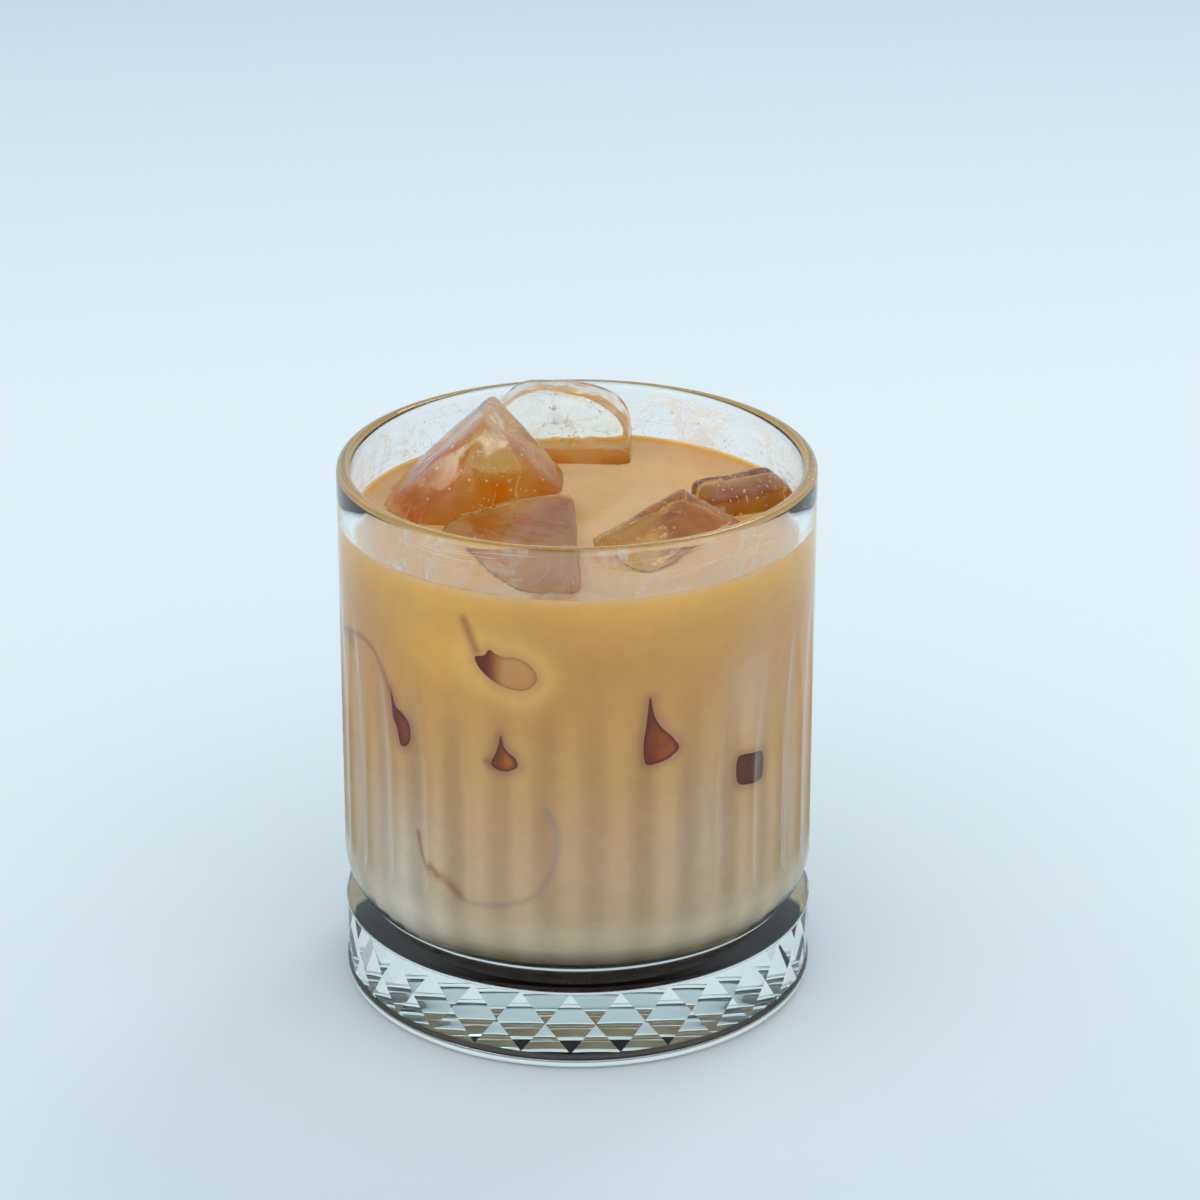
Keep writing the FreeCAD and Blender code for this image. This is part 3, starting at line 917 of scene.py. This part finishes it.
drift = add_node(tree, "ShaderNodeTexNoise", inputs={"Vector": place.outputs["Object"]},
                 values={"Scale": 70.0, "Detail": 7.0, "Roughness": 0.68, "Distortion": 2.4})
veil = add_node(tree, "ShaderNodeMapRange", {"interpolation_type": "SMOOTHSTEP"},
                inputs={"Value": drift.outputs["Fac"]},
                values={"From Min": 0.46, "From Max": 0.70, "To Min": 0.015, "To Max": 0.36})
tree.links.new(veil.outputs["Result"], shader.inputs["Alpha"])
milk_film.data.materials.append(thin_milk)
belongs(milk_film)

# the tide lines, the first few of them in front
TIDES = 26
FRONT_TIDES = 8
TIDE_POINTS = 40
random = np.random.default_rng(51)
in_front = np.arange(TIDES) < FRONT_TIDES
middles = np.where(in_front, random.uniform(-60, 60, TIDES), random.uniform(100, 260, TIDES))
tide_lines = []
for number, middle in enumerate(middles):
    sweep = middle + np.linspace(-1, 1, TIDE_POINTS) * random.uniform(5, 26)
    height = LEVEL + random.uniform(1.4, 8.0)
    height = height + 0.9 * waves(np.stack([sweep / 9, 0 * sweep, 0 * sweep + number], -1), 52, 3.0)
    height = np.clip(height, LEVEL + 1.0, HEIGHT - 2.2)
    line = turned_points(inside_radius(height) - 0.05, height, sweep)
    tide_lines.append(thread(line, random.uniform(0.03, 0.07)))
tides = new_piece("tide_lines", np.concatenate(tide_lines), thread_faces(TIDES, TIDE_POINTS))
tides.data.materials.append(dried_milk)
belongs(tides)

# ================================================================= table, light and camera
# A pale blue seamless sheet of paper under even studio light, with a dark ceiling and one softbox
# high behind the right side.

PAPER_REACH = 3000
PAPER_TOP = -0.05
paper_corners = PAPER_REACH * np.array([(-1, -1, 0), (1, -1, 0), (1, 1, 0), (-1, 1, 0)]) + (0, 0, PAPER_TOP)
table = new_piece("table", paper_corners, np.array([[0, 1, 2, 3]]))
paper, shader, _ = new_material("pale_paper")
shader.inputs["Roughness"].default_value = 0.9
shader.inputs["Specular IOR Level"].default_value = 0.0
tree = paper.node_tree
place = add_node(tree, "ShaderNodeTexCoord")
parts = add_node(tree, "ShaderNodeSeparateXYZ", inputs={"Vector": place.outputs["Object"]})
along = add_node(tree, "ShaderNodeMapRange", inputs={"Value": parts.outputs["Y"]},
                 values={"From Min": -0.30, "From Max": 0.70})
ramp = add_node(tree, "ShaderNodeValToRGB", inputs={"Fac": along.outputs["Result"]})
# the paper's colour from front to back, which evens out how the light falls off
stops = [(0.20, (208, 223, 234)), (0.33, (222, 235, 243)), (0.59, (219, 231, 238)),
         (0.79, (208, 222, 231)), (1.0, (195, 211, 222))]
while len(ramp.color_ramp.elements) < len(stops):
    ramp.color_ramp.elements.new(0.5)
for element, (position, shade) in zip(ramp.color_ramp.elements, stops):
    element.position = position
    element.color = linear(*shade)
tree.links.new(ramp.outputs["Color"], shader.inputs["Base Color"])
table.data.materials.append(paper)

FRONT_LIGHT = (1.76, 1.73, 1.70, 1)
BACK_LIGHT = (0.84, 0.98, 1.04, 1)
BACKDROP = (0.70, 0.82, 0.88, 1)

# soft light from the front and sides, dimmer and bluer light from behind and a dark ceiling
world = bpy.data.worlds.new("studio")
bpy.context.scene.world = world
world.use_nodes = True
tree = world.node_tree
sky = tree.nodes["Background"]
place = add_node(tree, "ShaderNodeTexCoord")
parts = add_node(tree, "ShaderNodeSeparateXYZ", inputs={"Vector": place.outputs["Generated"]})
back = add_node(tree, "ShaderNodeMapRange", {"interpolation_type": "SMOOTHSTEP"},
                inputs={"Value": parts.outputs["Y"]}, values={"From Min": -0.5, "From Max": 0.6})
below_ceiling = add_node(tree, "ShaderNodeMapRange", {"interpolation_type": "SMOOTHSTEP"},
                         inputs={"Value": parts.outputs["Z"]},
                         values={"From Min": 0.70, "From Max": 0.98, "To Min": 1.0, "To Max": 0.05})
shade = add_node(tree, "ShaderNodeMix", {"data_type": "RGBA"}, inputs={"Factor": back.outputs["Result"]},
                 values={"A": FRONT_LIGHT, "B": BACK_LIGHT})
lit = add_node(tree, "ShaderNodeMix", {"data_type": "RGBA", "blend_type": "MULTIPLY"},
               inputs={"A": shade.outputs["Result"], "B": below_ceiling.outputs["Result"]},
               values={"Factor": 1.0})
# what glass and ice show straight through them is the same backdrop on every side
path = add_node(tree, "ShaderNodeLightPath")
undimmed = add_node(tree, "ShaderNodeMath", {"operation": "LESS_THAN"},
                    inputs={0: path.outputs["Diffuse Depth"]}, values={1: 0.5})
straight = add_node(tree, "ShaderNodeMath", {"operation": "MULTIPLY"},
                    inputs={0: undimmed.outputs["Value"], 1: path.outputs["Is Transmission Ray"]})
seen = add_node(tree, "ShaderNodeMix", {"data_type": "RGBA"},
                inputs={"Factor": straight.outputs["Value"], "A": lit.outputs["Result"]},
                values={"B": BACKDROP})
tree.links.new(seen.outputs["Result"], sky.inputs["Color"])
sky.inputs["Strength"].default_value = 1.0

# one softbox high behind the right side lights the edges of the ice and the rim
softbox = bpy.data.lights.new("softbox", "AREA")
softbox.size = 0.32
softbox.energy = 1.7
softbox_lamp = bpy.data.objects.new("softbox", softbox)
bpy.context.scene.collection.objects.link(softbox_lamp)
softbox_lamp.location = (0.42, 0.66, 1.05)
to_the_drink = Vector((0, 0, 0.05)) - softbox_lamp.location
softbox_lamp.rotation_euler = to_the_drink.to_track_quat("-Z", "Y").to_euler()

# a long lens in front of the drink, looking down on it
LOOK_DOWN = 22.86
camera = bpy.data.objects.new("camera", bpy.data.cameras.new("camera"))
bpy.context.scene.collection.objects.link(camera)
camera.data.lens = 126.6
camera.data.sensor_width = 36.0
camera.location = (0.00402, -0.6875, 0.3612)
camera.rotation_euler = (np.radians(90 - LOOK_DOWN), 0, 0)
bpy.context.scene.camera = camera
bpy.context.scene.view_settings.view_transform = "Standard"
